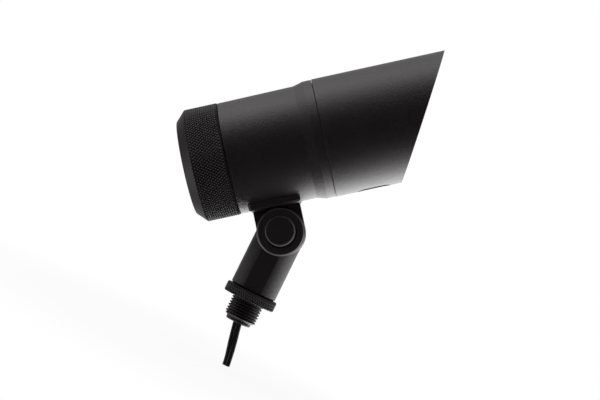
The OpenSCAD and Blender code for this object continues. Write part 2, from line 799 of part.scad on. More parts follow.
// The free lead, down to its cut end
module lead_cord() {
    color("#202020") swept_lead(CORD);
}

housing();
rear_cap();
rear_oring();
shroud();
shroud_oring();
lens();
lens_gasket();
lens_ring();
reflector();
led_board();
led_emitter();
emitter_holder();
board_screws();
driver_cup();
driver_board();
driver_screws();
led_leads();
head_leads();
saddle_pad();
head_lug();
lug_screws();
stem();
friction_washer();
pivot_bolt();
bolt_washer();
pivot_nut();
pivot_cap();
threaded_stub();
seal_washer();
lock_ring();
cord_bush();
inner_lead();
lead_cord();
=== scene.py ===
import json
import math

import bmesh
import bpy
from mathutils import Matrix, Vector


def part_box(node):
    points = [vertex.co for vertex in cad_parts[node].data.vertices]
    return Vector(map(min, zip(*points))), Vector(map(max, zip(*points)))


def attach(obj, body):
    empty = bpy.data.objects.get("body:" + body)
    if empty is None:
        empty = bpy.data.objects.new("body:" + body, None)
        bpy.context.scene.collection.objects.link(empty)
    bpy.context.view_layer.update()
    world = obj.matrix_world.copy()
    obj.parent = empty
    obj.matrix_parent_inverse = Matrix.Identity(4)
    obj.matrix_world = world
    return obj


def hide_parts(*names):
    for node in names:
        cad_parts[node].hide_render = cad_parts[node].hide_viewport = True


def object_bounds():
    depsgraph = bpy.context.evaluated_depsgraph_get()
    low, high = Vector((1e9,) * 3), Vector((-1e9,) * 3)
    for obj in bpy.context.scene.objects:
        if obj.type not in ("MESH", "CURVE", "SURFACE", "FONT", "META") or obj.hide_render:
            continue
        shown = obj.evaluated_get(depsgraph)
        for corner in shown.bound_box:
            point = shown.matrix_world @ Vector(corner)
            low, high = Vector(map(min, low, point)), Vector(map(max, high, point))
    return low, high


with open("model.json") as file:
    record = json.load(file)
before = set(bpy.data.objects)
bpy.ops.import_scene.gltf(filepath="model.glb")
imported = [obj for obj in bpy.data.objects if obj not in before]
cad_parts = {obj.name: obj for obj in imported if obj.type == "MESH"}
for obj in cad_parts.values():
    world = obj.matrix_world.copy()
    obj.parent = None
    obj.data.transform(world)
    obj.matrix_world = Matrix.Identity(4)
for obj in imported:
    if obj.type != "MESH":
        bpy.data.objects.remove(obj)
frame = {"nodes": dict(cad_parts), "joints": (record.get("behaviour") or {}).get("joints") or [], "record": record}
cad_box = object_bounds()
joints = {joint["name"]: joint for joint in frame["joints"]}

MM = 0.001

# The head's own frame: its origin is the shroud seam, +Z runs forward along the head axis and
# -X is up. The stem's frame is the frame of the whole part.
seam = Vector(joints["shroud_turn"]["pos_m"])
head_axis = Vector(joints["shroud_turn"]["axis"]).normalized()
tilt_pivot = Vector(joints["head_tilt"]["pos_m"])
across = Vector((0, 1, 0))
HEAD = Matrix((across.cross(head_axis), across, head_axis)).transposed().to_4x4()
HEAD.translation = seam
STEM = Matrix.Identity(4)


def span(node, place):
    """How far a node reaches along the Z of a frame: its lowest and highest distance."""
    into = place.inverted()
    heights = [(into @ vertex.co).z for vertex in frame["nodes"][node].data.vertices]
    return min(heights), max(heights)


def radius_of(node):
    """The radius of a round node, which is half its width along the tilt axis."""
    low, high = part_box(node)
    return (high.y - low.y) / 2


# Camera: looks nearly along the tilt axis, and is rolled so that the stem leans to the right
EYE_DISTANCE = 0.869
EYE_FOOT = (0.0467, 0.0389)          # X and Z of the eye, which is EYE_DISTANCE in front of Y = 0
AIM = Vector((0.0012, 0, 0.07052))   # what the middle of the picture shows
ROLL = math.radians(26.22)
LENS = 83.6                          # focal length in millimetres


def picture_way(degrees):
    """A direction across the picture, turned from its right-hand side towards its top."""
    turn = math.radians(degrees) + ROLL
    return math.cos(turn), 0, math.sin(turn)


def make_camera():
    eye = Vector((EYE_FOOT[0], -EYE_DISTANCE, EYE_FOOT[1]))
    forward = (AIM - eye).normalized()
    up = Vector((-math.sin(ROLL), 0, math.cos(ROLL)))
    right = forward.cross(up).normalized()
    up = right.cross(forward)
    camera = bpy.data.objects.new("camera", bpy.data.cameras.new("camera"))
    bpy.context.scene.collection.objects.link(camera)
    turn = Matrix((right, up, -forward)).transposed().to_4x4()
    turn.translation = eye
    camera.matrix_world = turn
    camera.data.lens = LENS
    camera.data.clip_start = 0.05
    camera.data.clip_end = 20
    bpy.context.scene.camera = camera


make_camera()


# Modelling helpers

NEAR = 0.01 * MM         # how far a point may miss the place where it is looked for
SEW_GAP = 0.004 * MM     # how far apart two points may lie and still be merged
HUB = 0.5                # share of a flat round face's radius inside which one face fills it


def deselect():
    if bpy.context.object and bpy.context.object.mode == "EDIT":
        bpy.ops.object.mode_set(mode="OBJECT")
    bpy.ops.object.select_all(action="DESELECT")


def pick(test):
    """In edit mode, selects the vertices whose place passes a test."""
    bpy.ops.mesh.select_mode(type="VERT")
    bpy.ops.mesh.select_all(action="DESELECT")
    mesh = bmesh.from_edit_mesh(bpy.context.object.data)
    for vertex in mesh.verts:
        if test(vertex.co):
            vertex.select_set(True)
    mesh.select_flush_mode()
    bmesh.update_edit_mesh(bpy.context.object.data)


def spread_from_axis(factor):
    bpy.ops.transform.resize(value=(factor, factor, 1), center_override=(0, 0, 0))


def shift_up(distance):
    bpy.ops.transform.translate(value=(0, 0, distance))


class Turning:
    """A ring of vertices round Z that is drawn out step by step, as a turned piece's outline."""

    def __init__(self, sides, radius, z):
        deselect()
        bpy.ops.mesh.primitive_circle_add(vertices=sides, radius=radius)
        bpy.ops.object.mode_set(mode="EDIT")
        bpy.ops.mesh.select_all(action="SELECT")
        shift_up(z)
        self.sides, self.radius, self.z = sides, radius, z

    def to(self, radius, z):
        bpy.ops.mesh.extrude_region_move()
        spread_from_axis(radius / self.radius)
        shift_up(z - self.z)
        self.radius, self.z = radius, z

    def along(self, outline):
        for radius, z in outline:
            self.to(radius, z)

    def ring(self, radius, z):
        """Starts a new ring of its own in the same mesh."""
        bpy.ops.mesh.primitive_circle_add(vertices=self.sides, radius=radius, location=(0, 0, z))
        self.radius, self.z = radius, z

    def pick_ring(self):
        pick(lambda co: abs(co.z - self.z) < NEAR and abs(co.xy.length - self.radius) < NEAR)


def sew():
    """Merges doubled points, then turns the faces outwards and leaves edit mode."""
    bpy.ops.mesh.select_all(action="SELECT")
    bpy.ops.mesh.remove_doubles(threshold=SEW_GAP)
    bpy.ops.mesh.normals_make_consistent(inside=False)
    bpy.ops.object.mode_set(mode="OBJECT")


def hand_over(name, place, body, material, node, smooth=25):
    """Puts the active object in its place on a body, with its name and finish, for a node of the
    frame. Edges that turn less than the smooth angle, in degrees, are shaded smooth."""
    piece = bpy.context.object
    piece.name = piece.data.name = name
    piece.matrix_world = place @ piece.matrix_world
    bpy.ops.object.select_all(action="DESELECT")
    piece.select_set(True)
    bpy.ops.object.transform_apply(location=True, rotation=True, scale=True)
    bpy.ops.object.shade_smooth_by_angle(angle=math.radians(smooth))
    piece.data.materials.clear()
    piece.data.materials.append(material)
    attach(piece, body)
    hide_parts(node)
    return piece


# Shader maths

LEVEL_SCALE = 16.0     # a ramp's heights are divided by this, so that they stay below 1


class Flow:
    """A value or colour that runs through a material's nodes. An expression on it adds Math nodes."""

    def __init__(self, tree, socket=None):
        self.tree, self.socket = tree, socket

    def node(self, kind, settings=None, sockets=None, out=0):
        """Adds a node: its settings come first, then the values or links of its sockets."""
        made = self.tree.nodes.new("ShaderNode" + kind)
        for name, value in (settings or {}).items():
            if name == "stops":
                ramp = made.color_ramp
                while len(ramp.elements) < len(value):
                    ramp.elements.new(0.5)
                for element, (place, tone) in zip(ramp.elements, value):
                    element.position = place
                    element.color = (tone, tone, tone, 1)
            else:
                setattr(made, name, value)
        for name, value in (sockets or {}).items():
            if isinstance(value, Flow):
                self.tree.links.new(value.socket, made.inputs[name])
            else:
                made.inputs[name].default_value = value
        return Flow(self.tree, made.outputs[out])

    def other(self, name):
        """Another output of the same node."""
        return Flow(self.tree, self.socket.node.outputs[name])

    def maths(self, operation, first, second=0.0):
        return self.node("Math", {"operation": operation}, {0: first, 1: second})

    def __add__(self, other):
        return self.maths("ADD", self, other)

    __radd__ = __add__

    def __sub__(self, other):
        return self.maths("SUBTRACT", self, other)

    def __rsub__(self, other):
        return self.maths("SUBTRACT", other, self)

    def __mul__(self, other):
        return self.maths("MULTIPLY", self, other)

    __rmul__ = __mul__

    def __truediv__(self, other):
        return self.maths("DIVIDE", self, other)

    def __pow__(self, other):
        return self.maths("POWER", self, other)

    def level(self, stops):
        """A height that runs in straight lines through stops of (place, height)."""
        low_stops = [(place, height / LEVEL_SCALE) for place, height in stops]
        ramp = self.node("ValToRGB", {"stops": low_stops}, {0: self})
        return ramp.node("SeparateColor", None, {0: ramp}) * LEVEL_SCALE

    def between(self, low, high):
        """0 at low, 1 at high, and straight in between."""
        sockets = {"Value": self, "From Min": low, "From Max": high}
        return self.node("MapRange", {"clamp": True}, sockets)

    def blend(self, first, second):
        """The first colour where this value is 0 and the second where it is 1."""
        return self.node("Mix", {"data_type": "RGBA"}, {"Factor": self, 6: first, 7: second}, out=2)

    def tint(self, dark, light):
        """The colour that lies between two as this value goes from 0 to 1."""
        return self.blend((*dark, 1), (*light, 1))


class Finish:
    """A material, its node tree and its surface shader."""

    def __init__(self, name, **sockets):
        self.material = bpy.data.materials.new(name)
        self.material.use_nodes = True
        self.tree = self.material.node_tree
        self.surface = self.tree.nodes["Principled BSDF"]
        self.flow = Flow(self.tree)
        for socket, value in sockets.items():
            self.set(socket.replace("_", " "), value)

    def set(self, socket, value):
        if isinstance(value, Flow):
            self.tree.links.new(value.socket, self.surface.inputs[socket])
        else:
            self.surface.inputs[socket].default_value = value

    def place(self):
        return self.flow.node("TexCoord", out=3)

    def noise(self, scale, detail=2.0, rough=0.5, stretch=None):
        where = self.place()
        if stretch:
            where = self.flow.node("Mapping", None, {"Vector": where, "Scale": stretch})
        return self.flow.node("TexNoise", None, {"Vector": where, "Scale": scale, "Detail": detail,
                                                 "Roughness": rough})

    def mix_over(self, shader, share):
        """Lays another shader over the surface's own, by a share from 0 to 1."""
        mix = self.flow.node("MixShader", None, {0: share, 2: shader})
        self.tree.links.new(self.surface.outputs[0], mix.socket.node.inputs[1])
        self.tree.links.new(mix.socket, self.tree.nodes["Material Output"].inputs["Surface"])

    def bump(self, height, strength, distance):
        self.set("Normal", self.flow.node("Bump", None, {
            "Height": height, "Strength": strength, "Distance": distance}))


# Finishes

COAT_DARK, COAT_LIGHT = (0.0088, 0.0048, 0.0064), (0.0192, 0.0106, 0.0139)
COAT_ROUGHNESS = 0.38
COAT_GRAIN, COAT_MOTTLE, COAT_SPECKS = 1150, 45, 900     # scales of the coat's noise
COAT_RELIEF = 0.22 * MM
RIM_FRONT = 14.6 * MM                 # how far in front of the head's middle plane the painted rim highlights lie
RIM_FADE = 0.1 * MM
RIM_HIGHLIGHT_TONE = (0.17, 0.17, 0.17, 1)
RIM_LIT_SIDE = picture_way(-30)           # the painted rim highlights are palest towards the lower right, where the light falls
CREST_HIGHLIGHT_TONE = (0.058, 0.058, 0.058, 1)
CREST_FROM = 0.14 * MM                # how far below the crests the painted highlight starts
CREST_FULL = 0.04 * MM                # and where it is full


def powder_coat(name, grain=1.0, rims=(), knurl_at=None, ior=1.5):
    """Matt powder coat with a fine grain. It has a painted highlight, palest towards the lower right where the
    light falls, on rims round the tilt axis, each given as the X and Z of its middle, its radius and its width,
    and a painted highlight on the crests of a knurl, which is given as a point of its axis, the axis, and the
    crests' radius."""
    coat = Finish(name, IOR=ior)
    fine = coat.noise(COAT_GRAIN, 3, 0.6)
    slow = coat.noise(COAT_MOTTLE, 3, 0.55)
    specks = coat.noise(COAT_SPECKS, 1, 0.5).between(0.72, 0.8)
    paint = (slow * 0.5 + fine * 0.35 + specks * 0.6).tint(COAT_DARK, COAT_LIGHT)
    # Painted highlight on each rim's front face, palest on the side towards the lower right, where the light falls
    for x, z, radius, width in rims:
        arm = coat.flow.node("VectorMath", {"operation": "MULTIPLY_ADD"},
                             {0: coat.place(), 1: (1, 0, 1), 2: (-x, 0, -z)})
        away = coat.flow.node("VectorMath", {"operation": "LENGTH"}, {0: arm}, out="Value")
        near = 1 - coat.flow.maths("ABSOLUTE", away - radius).between(width * 0.4, width * 0.6)
        depth = coat.flow.node("SeparateXYZ", None, {0: coat.place()}, out="Y") * -1
        side = coat.flow.node("VectorMath", {"operation": "DOT_PRODUCT"},
                              {0: arm, 1: RIM_LIT_SIDE}, out="Value")
        lit_side_share = (side / away).between(-0.4, 0.7) * 0.6 + 0.4
        rim_highlight = near * lit_side_share * depth.between(RIM_FRONT, RIM_FRONT + RIM_FADE) * (fine * 0.6 + 0.7)
        paint = rim_highlight.between(0, 1).blend(paint, RIM_HIGHLIGHT_TONE)
    # Painted highlight on the knurl's crests
    if knurl_at:
        point, axis, radius = knurl_at
        arm = coat.flow.node("VectorMath", {"operation": "SUBTRACT"}, {0: coat.place(), 1: point})
        arm = coat.flow.node("VectorMath", {"operation": "CROSS_PRODUCT"}, {0: arm, 1: axis})
        away = coat.flow.node("VectorMath", {"operation": "LENGTH"}, {0: arm}, out="Value")
        paint = away.between(radius - CREST_FROM, radius - CREST_FULL).blend(paint, CREST_HIGHLIGHT_TONE)
    coat.set("Base Color", paint)
    coat.set("Roughness", slow * 0.06 + fine * 0.08 + COAT_ROUGHNESS)
    if grain:
        coat.bump(fine + slow * 0.3, grain, COAT_RELIEF)
    return coat.material


def rubber(name, tone, scale=1200, rough=0.5, ior=1.45):
    skin = Finish(name, IOR=ior)
    dust = skin.noise(scale, 3, 0.6)
    slow = skin.noise(90, 2)
    dark, light = [t * 0.7 for t in tone], [t * 1.4 for t in tone]
    skin.set("Base Color", (dust * 0.5 + slow * 0.5).tint(dark, light))
    skin.set("Roughness", dust * 0.15 + rough)
    skin.bump(dust, 0.15, 0.1 * MM)
    return skin.material


def metal(name, tone, rough, scratch=1.0):
    """Plain metal with fine turning marks and a few dull patches."""
    skin = Finish(name, Metallic=1.0)
    marks = skin.noise(700, 2, 0.6, stretch=(1, 9, 1))
    patch = skin.noise(160, 3)
    skin.set("Base Color", (patch * 0.6 + marks * 0.4).tint([t * 0.8 for t in tone], tone))
    skin.set("Roughness", patch * 0.12 + marks * 0.1 + rough)
    skin.bump(marks, 0.1 * scratch, 0.05 * MM)
    return skin.material


def plastic(name, tone, rough):
    skin = Finish(name, IOR=1.5)
    texture = skin.noise(1500, 2)
    slow = skin.noise(60, 2)
    skin.set("Base Color", (slow * 0.7 + texture * 0.3).tint([t * 0.88 for t in tone], tone))
    skin.set("Roughness", slow * 0.08 + texture * 0.08 + rough)
    skin.bump(texture, 0.08, 0.08 * MM)
    return skin.material


def clear_glass(name):
    glass = Finish(name, IOR=1.52, Transmission_Weight=1.0)
    smear = glass.noise(70, 3, 0.6)
    glass.set("Base Color", smear.tint((0.93, 0.97, 0.96), (0.98, 1.0, 0.99)))
    glass.set("Roughness", smear.between(0.45, 0.8) * 0.05 + 0.01)
    return glass.material


# The round cap has settled towards the upper left of its recess in the cheek
COVER_AT = Vector((-0.55 * MM, 0, tilt_pivot.z + 0.45 * MM))
COVER_R = 9.5 * MM
COVER_BEVEL = 0.9 * MM

# The rims with a painted highlight: X and Z of the middle, radius and width
COVER_RIM = (COVER_AT.x, COVER_AT.z, COVER_R - COVER_BEVEL / 2, COVER_BEVEL)
CHEEK_RIM = (0, tilt_pivot.z, 14.4 * MM, 0.9 * MM)

COAT = powder_coat("black_powder_coat")
STUB_COAT = powder_coat("black_powder_coat_on_the_stub", grain=0)
REAR_CAP_COAT = powder_coat("black_powder_coat_with_painted_crest_highlights_on_the_cap", grain=0,
                            knurl_at=(seam, head_axis, radius_of("rear_cap")), ior=1.3)
RING_COAT = powder_coat("black_powder_coat_with_painted_crest_highlights_on_the_ring", grain=0,
                        knurl_at=((0, 0, 0), (0, 0, 1), radius_of("lock_ring")), ior=1.34)
STEM_COAT = powder_coat("black_powder_coat_with_painted_rim_highlight_on_the_stem", rims=[CHEEK_RIM])
COVER_COAT = powder_coat("black_powder_coat_on_the_round_cap", rims=[COVER_RIM])
RUBBER = rubber("black_rubber", (0.015, 0.015, 0.016))
# The seal washer is black rubber, but its near-black tone and weak sheen, darker than the other rubber, are
# painted shade for the narrow gap between the stem and the lock ring
WASHER_RUBBER_AND_GAP_SHADE = rubber("black_washer_rubber_with_painted_gap_shade", (0.001, 0.001, 0.001), rough=0.6, ior=1.12)
GLASS = clear_glass("clear_glass")
STEEL = metal("zinc_plated_steel", (0.62, 0.62, 0.63), 0.25)
REFLECTOR = metal("bright_reflector", (0.86, 0.86, 0.87), 0.08, scratch=0.3)
BOARD = plastic("white_board", (0.8, 0.81, 0.79), 0.35)
EMITTER = plastic("yellow_emitter", (0.8, 0.6, 0.1), 0.3)
HOLDER = plastic("white_plastic", (0.82, 0.82, 0.8), 0.45)
CIRCUIT = plastic("green_board", (0.03, 0.16, 0.06), 0.35)
CUP = plastic("grey_polymer", (0.5, 0.5, 0.48), 0.5)
WIRE = plastic("wire_insulation", (0.45, 0.05, 0.04), 0.35)
JACKET = rubber("lead_jacket", (0.006, 0.006, 0.0065), scale=700, rough=0.3)

FINISHES = {
    "black_coat": COAT, "black_rubber": RUBBER, "clear_glass": GLASS, "bright_reflector": REFLECTOR,
    "white_board": BOARD, "emitter_yellow": EMITTER, "white_plastic": HOLDER, "green_board": CIRCUIT,
    "steel": STEEL, "wire_insulation": WIRE, "grey_polymer": CUP, "lead_jacket": JACKET,
}

# Nodes whose finish differs a little from the rest of their slot: the stem's carries a painted rim highlight, and
# the washer's near-black tone is partly painted shade
OWN_FINISH = {"stem": STEM_COAT, "seal_washer": WASHER_RUBBER_AND_GAP_SHADE}


def finish_frame():
    """Gives every node of the frame its finish, by the record's material slots."""
    slots = {part["node"]: part["material_slot"] for part in frame["record"]["subparts"]}
    for name, node in frame["nodes"].items():
        node.data.materials.clear()
        node.data.materials.append(OWN_FINISH.get(name) or FINISHES[slots[name]])


finish_frame()


# The lead

LEAD_ROUTE = [
    (0, 0, -0.008), (0, 0, -0.0095), (-0.0001, 0, -0.011), (-0.0002, 0, -0.0125),
    (-0.0002, 0, -0.0138), (0, 0, -0.0152), (0.0004, 0, -0.0171), (0.0008, 0, -0.0191),
    (0.0012, 0, -0.0211), (0.00165, 0, -0.0231), (0.0021, 0, -0.0251), (0.0025, 0, -0.0271),
    (0.00295, 0, -0.0291), (0.0034, 0, -0.0311), (0.0038, 0, -0.0331), (0.0042, 0, -0.0351),
    (0.00455, 0, -0.0371), (0.0049, 0, -0.0391), (0.00515, 0, -0.0408), (0.0053, 0, -0.0423)]
LEAD_WIDTH = 0.0057
CORE_R = 0.0015
CORE_X = LEAD_WIDTH / 2 - CORE_R
CORE_GROOVE = 0.07 * CORE_X      # half the width of the flat bottom of the groove between the cores
CORE_POINTS = 16                 # points of the outline round each core
LEAD_TURN = ((-0.008, 0), (-0.026, 0), (-0.03, 17), (-0.036, 39), (-0.0423, 45))  # height, degrees


def lead_outline():
    """Outline of the flat lead: two cores that run into each other, with a groove between them."""
    reach = math.acos((CORE_GROOVE - CORE_X) / CORE_R)
    turns = [reach * (2 * i / (CORE_POINTS - 1) - 1) for i in range(CORE_POINTS)]
    one = [(CORE_X + CORE_R * math.cos(a), CORE_R * math.sin(a)) for a in turns]
    return one + [(-x, -y) for x, y in one]


def lead_turn(height):
    """How far the lead has turned about its own length at a height."""
    for (high, before), (low, after) in zip(LEAD_TURN, LEAD_TURN[1:]):
        if height >= low:
            return math.radians(before + (after - before) * (high - height) / (high - low))
    return math.radians(LEAD_TURN[-1][1])


def make_lead():
    deselect()
    bpy.ops.curve.primitive_nurbs_path_add()
    section = bpy.context.object
    section.name = "lead_section"
    section.data.splines.clear()
    outline = section.data.splines.new("POLY")
    outline.use_cyclic_u = True
    corners = lead_outline()
    outline.points.add(len(corners) - 1)
    for point, (x, y) in zip(outline.points, corners):
        point.co = (x, y, 0, 1)
    section.data.dimensions = "2D"

    deselect()
    bpy.ops.curve.primitive_nurbs_path_add()
    lead = bpy.context.object
    lead.data.splines.clear()
    line = lead.data.splines.new("POLY")
    line.points.add(len(LEAD_ROUTE) - 1)
    for point, place in zip(line.points, LEAD_ROUTE):
        point.co = (*place, 1)
        point.tilt = lead_turn(place[2])
    lead.data.twist_mode = "MINIMUM"
    lead.data.bevel_mode = "OBJECT"
    lead.data.bevel_object = section
    lead.data.use_fill_caps = True
    bpy.ops.object.select_all(action="DESELECT")
    lead.select_set(True)
    bpy.ops.object.convert(target="MESH")
    bpy.data.objects.remove(section)
    bpy.ops.object.mode_set(mode="EDIT")
    sew()
    return hand_over("lead", STEM, "stem", JACKET, "lead_cord", smooth=50)


lead = make_lead()


# Knurled and turned pieces

ROW_SLACK = 0.25         # how far a point may miss the knurl's rows, in rows
KNURL_SLACK = 1 / 9      # how far it may miss a height or a radius, as a share of the knurl's depth


def knurl(turning, depth, rows, row_h, flat):
    """Draws a sleeve of blunt knurled pyramids upwards from the ring. Their flat tops, a share of
    each side wide, lie at the ring's radius."""
    low, radius, step = turning.z, turning.radius, 2 * math.pi / turning.sides
    tall = radius + flat * depth
    turning.along([(radius, low + row_h * row) for row in range(1, rows + 1)])

    def cell(co):
        return round(math.atan2(co.y, co.x) / step), round((co.z - low) / row_h)

    def on_sleeve(co, first=0, last=rows):
        row = (co.z - low) / row_h
        return first - ROW_SLACK < row < last + ROW_SLACK and co.xy.length > radius - NEAR

    def in_valley(co):
        return on_sleeve(co) and sum(cell(co)) % 2 == 1

    pick(in_valley)
    bpy.ops.mesh.vert_connect()
    pick(in_valley)
    spread_from_axis((tall - depth) / radius)
    for row, outwards in ((0, -1), (rows, 1)):
        pick(lambda co: cell(co)[1] == row and abs(co.xy.length - tall + depth) < depth * KNURL_SLACK)
        shift_up(outwards * depth)
    pick(lambda co: on_sleeve(co, 1, rows - 1))
    spread_from_axis(tall / radius)
    bpy.ops.mesh.bevel(offset_pct=100 * flat, offset_type="PERCENT", affect="VERTICES")


CAP_STARTS = 116
CAP_DEPTH = 0.5 * MM
CAP_ROWS = 15
CAP_FLAT = 0.34
CAP_CHAMFER = 6.1 * MM
CAP_EDGE = 0.3 * MM           # width of the narrow band of faces along the chamfer's inner edge
CAP_LIP = 0.6 * MM
CAP_WALL_R = 33.08 * MM
CAP_GROOVE_R = 34.4 * MM
CAP_GROOVE_S = -63.6 * MM     # along the head axis from the shroud seam, as is the bore's end
CAP_GROOVE_W = 1.6 * MM
CAP_BORE_S = -74.7 * MM
CAP_HOLLOW_R = 28 * MM
CAP_FLOOR = 4.5 * MM


def make_rear_cap():
    rear, mouth = span("rear_cap", HEAD)
    radius = radius_of("rear_cap")
    band_low, band_high = rear + CAP_CHAMFER, mouth - CAP_LIP
    turning = Turning(2 * CAP_STARTS, radius, band_low)
    knurl(turning, CAP_DEPTH, CAP_ROWS, (band_high - band_low) / CAP_ROWS, CAP_FLAT)
    slack = CAP_DEPTH * KNURL_SLACK

    turning.ring(radius - CAP_CHAMFER, rear)
    pick(lambda co: co.z < band_low + slack)
    bpy.ops.mesh.bridge_edge_loops()
    turning.pick_ring()
    turning.to(radius - CAP_CHAMFER - CAP_EDGE, rear)
    turning.to(radius * HUB, rear)
    bpy.ops.mesh.edge_face_add()

    turning.ring(radius - CAP_LIP, mouth)
    pick(lambda co: co.z > band_high - slack)
    bpy.ops.mesh.bridge_edge_loops()
    turning.pick_ring()
    turning.along([
        (CAP_WALL_R, mouth), (CAP_WALL_R, CAP_GROOVE_S), (CAP_GROOVE_R, CAP_GROOVE_S),
        (CAP_GROOVE_R, CAP_GROOVE_S - CAP_GROOVE_W), (CAP_WALL_R, CAP_GROOVE_S - CAP_GROOVE_W),
        (CAP_WALL_R, CAP_BORE_S), (CAP_HOLLOW_R, CAP_BORE_S), (CAP_HOLLOW_R, rear + CAP_FLOOR),
        (CAP_HOLLOW_R * HUB, rear + CAP_FLOOR)])
    bpy.ops.mesh.edge_face_add()
    sew()
    hand_over("knurled_rear_cap", HEAD, "rear_cap", REAR_CAP_COAT, "rear_cap", smooth=18)


make_rear_cap()

RING_STARTS = 68
RING_DEPTH = 0.42 * MM
RING_ROWS = 3
RING_FLAT = 0.4
RING_CHAMFER = 0.6 * MM
RING_BORE_R = 10.38 * MM
RING_BORE_CHAMFER = 0.3 * MM


def make_lock_ring():
    low, high = span("lock_ring", STEM)
    radius = radius_of("lock_ring")
    band_low, band_high = low + RING_CHAMFER, high - RING_CHAMFER
    turning = Turning(2 * RING_STARTS, radius, band_low)
    knurl(turning, RING_DEPTH, RING_ROWS, (band_high - band_low) / RING_ROWS, RING_FLAT)
    slack = RING_DEPTH * KNURL_SLACK

    turning.ring(radius - RING_CHAMFER, low)
    pick(lambda co: co.z < band_low + slack)
    bpy.ops.mesh.bridge_edge_loops()
    turning.ring(radius - RING_CHAMFER, high)
    pick(lambda co: co.z > band_high - slack)
    bpy.ops.mesh.bridge_edge_loops()
    turning.pick_ring()
    mouth_r = RING_BORE_R + RING_BORE_CHAMFER
    turning.along([
        (mouth_r, high), (RING_BORE_R, high - RING_BORE_CHAMFER),
        (RING_BORE_R, low + RING_BORE_CHAMFER), (mouth_r, low), (radius - RING_CHAMFER, low)])
    sew()
    hand_over("knurled_lock_ring", STEM, "lock_ring", RING_COAT, "lock_ring", smooth=18)


make_lock_ring()

COVER_BACK = 13.3 * MM        # how far in front of the head's middle plane the round cap starts
COVER_FRONT = 16.7 * MM
COVER_SIDES = 96


def make_round_cap():
    """The cap in the cheek's middle."""
    turning = Turning(COVER_SIDES, COVER_R * HUB, COVER_BACK)
    turning.along([(COVER_R, COVER_BACK), (COVER_R, COVER_FRONT - COVER_BEVEL),
                   (COVER_R - COVER_BEVEL, COVER_FRONT), (COVER_R * HUB, COVER_FRONT)])
    bpy.ops.mesh.edge_face_add()
    pick(lambda co: co.z < COVER_BACK + NEAR and co.xy.length < COVER_R * HUB + NEAR)
    bpy.ops.mesh.edge_face_add()
    sew()
    place = Matrix.Translation(COVER_AT) @ Matrix.Rotation(math.pi / 2, 4, "X")
    hand_over("round_cap", place, "stem", COVER_COAT, "pivot_cap")


make_round_cap()

THREAD_PITCH = 25.4 / 14 * MM
THREAD_DEPTH = 1.15 * MM
THREAD_CREST = 0.66 * MM
THREAD_ROOT = 0.15 * MM
THREAD_FIRST = -2.34 * MM     # height of the first crest below the lock ring, on the +X side
THREAD_BELOW = 6              # crests below that one
THREAD_TURNS = 10
THREAD_STEPS = 120
STUB_R = 10.3 * MM
STUB_BORE_R = 5.5 * MM
SHANK_FROM = 4.5 * MM         # height where the thread ends and the plain shank in the stem starts
SHANK_R = 10 * MM
CONE_TOP = -11.7 * MM
CONE_FOOT = -13.2 * MM
TIP_R = 8.15 * MM
TIP_CHAMFER = 0.6 * MM


def make_groove():
    """A helical bar with the section of the thread's groove, which climbs towards the right."""
    width = THREAD_PITCH - THREAD_CREST
    slope = (width - THREAD_ROOT) / THREAD_DEPTH
    past = 0.3 * MM
    start = THREAD_FIRST - (THREAD_BELOW + 0.5) * THREAD_PITCH
    deselect()
    bpy.ops.mesh.primitive_plane_add(size=1)
    bpy.ops.object.mode_set(mode="EDIT")
    bpy.ops.mesh.select_all(action="SELECT")
    bpy.ops.mesh.delete(type="ONLY_FACE")
    bpy.ops.mesh.select_all(action="SELECT")
    bpy.ops.transform.rotate(value=math.pi / 2, orient_axis="X", center_override=(0, 0, 0))
    bpy.ops.transform.resize(value=(THREAD_DEPTH + past, 1, width + slope * past),
                             center_override=(0, 0, 0))
    pick(lambda co: co.x < 0)
    bpy.ops.transform.resize(value=(1, 1, THREAD_ROOT / (width + slope * past)),
                             center_override=(0, 0, 0))
    bpy.ops.mesh.select_all(action="SELECT")
    bpy.ops.transform.translate(value=(STUB_R - (THREAD_DEPTH - past) / 2, 0, start))
    bpy.ops.object.mode_set(mode="OBJECT")
    groove = bpy.context.object
    screw = groove.modifiers.new("screw", "SCREW")
    screw.axis = "Z"
    screw.screw_offset = THREAD_PITCH
    screw.iterations = THREAD_TURNS
    screw.steps = screw.render_steps = THREAD_STEPS
    bpy.ops.object.modifier_apply(modifier=screw.name)
    bpy.ops.object.mode_set(mode="EDIT")
    for end in (start, start + THREAD_TURNS * THREAD_PITCH):
        pick(lambda co: abs(co.y) < NEAR < co.x and abs(co.z - end) < THREAD_PITCH / 2)
        bpy.ops.mesh.edge_face_add()
    sew()
    return groove


def make_stub():
    groove = make_groove()
    low, top = span("threaded_stub", STEM)
    turning = Turning(THREAD_STEPS, STUB_BORE_R, low)
    turning.along([
        (TIP_R - TIP_CHAMFER, low), (TIP_R, low + TIP_CHAMFER), (TIP_R, CONE_FOOT), (STUB_R, CONE_TOP),
        (STUB_R, 0), (STUB_R, SHANK_FROM), (SHANK_R, SHANK_FROM), (SHANK_R, top), (STUB_BORE_R, top),
        (STUB_BORE_R, low)])
    sew()
    stub = bpy.context.object
    cut = stub.modifiers.new("thread", "BOOLEAN")
    cut.operation = "DIFFERENCE"
    cut.object = groove
    bpy.ops.object.modifier_apply(modifier=cut.name)
    bpy.data.objects.remove(groove)
    hand_over("stub_with_thread", STEM, "stem", STUB_COAT, "threaded_stub", smooth=2)


make_stub()


# Floor, light and world

FLOOR_Z = cad_box[0].z - 2 * MM
FLOOR_SIZE = 12
FLOOR_SHOWN = 0.12      # how far out its fade to plain white starts, which ends at twice that
FLOOR_WHITE = 0.92      # the share of plain white that it has even there

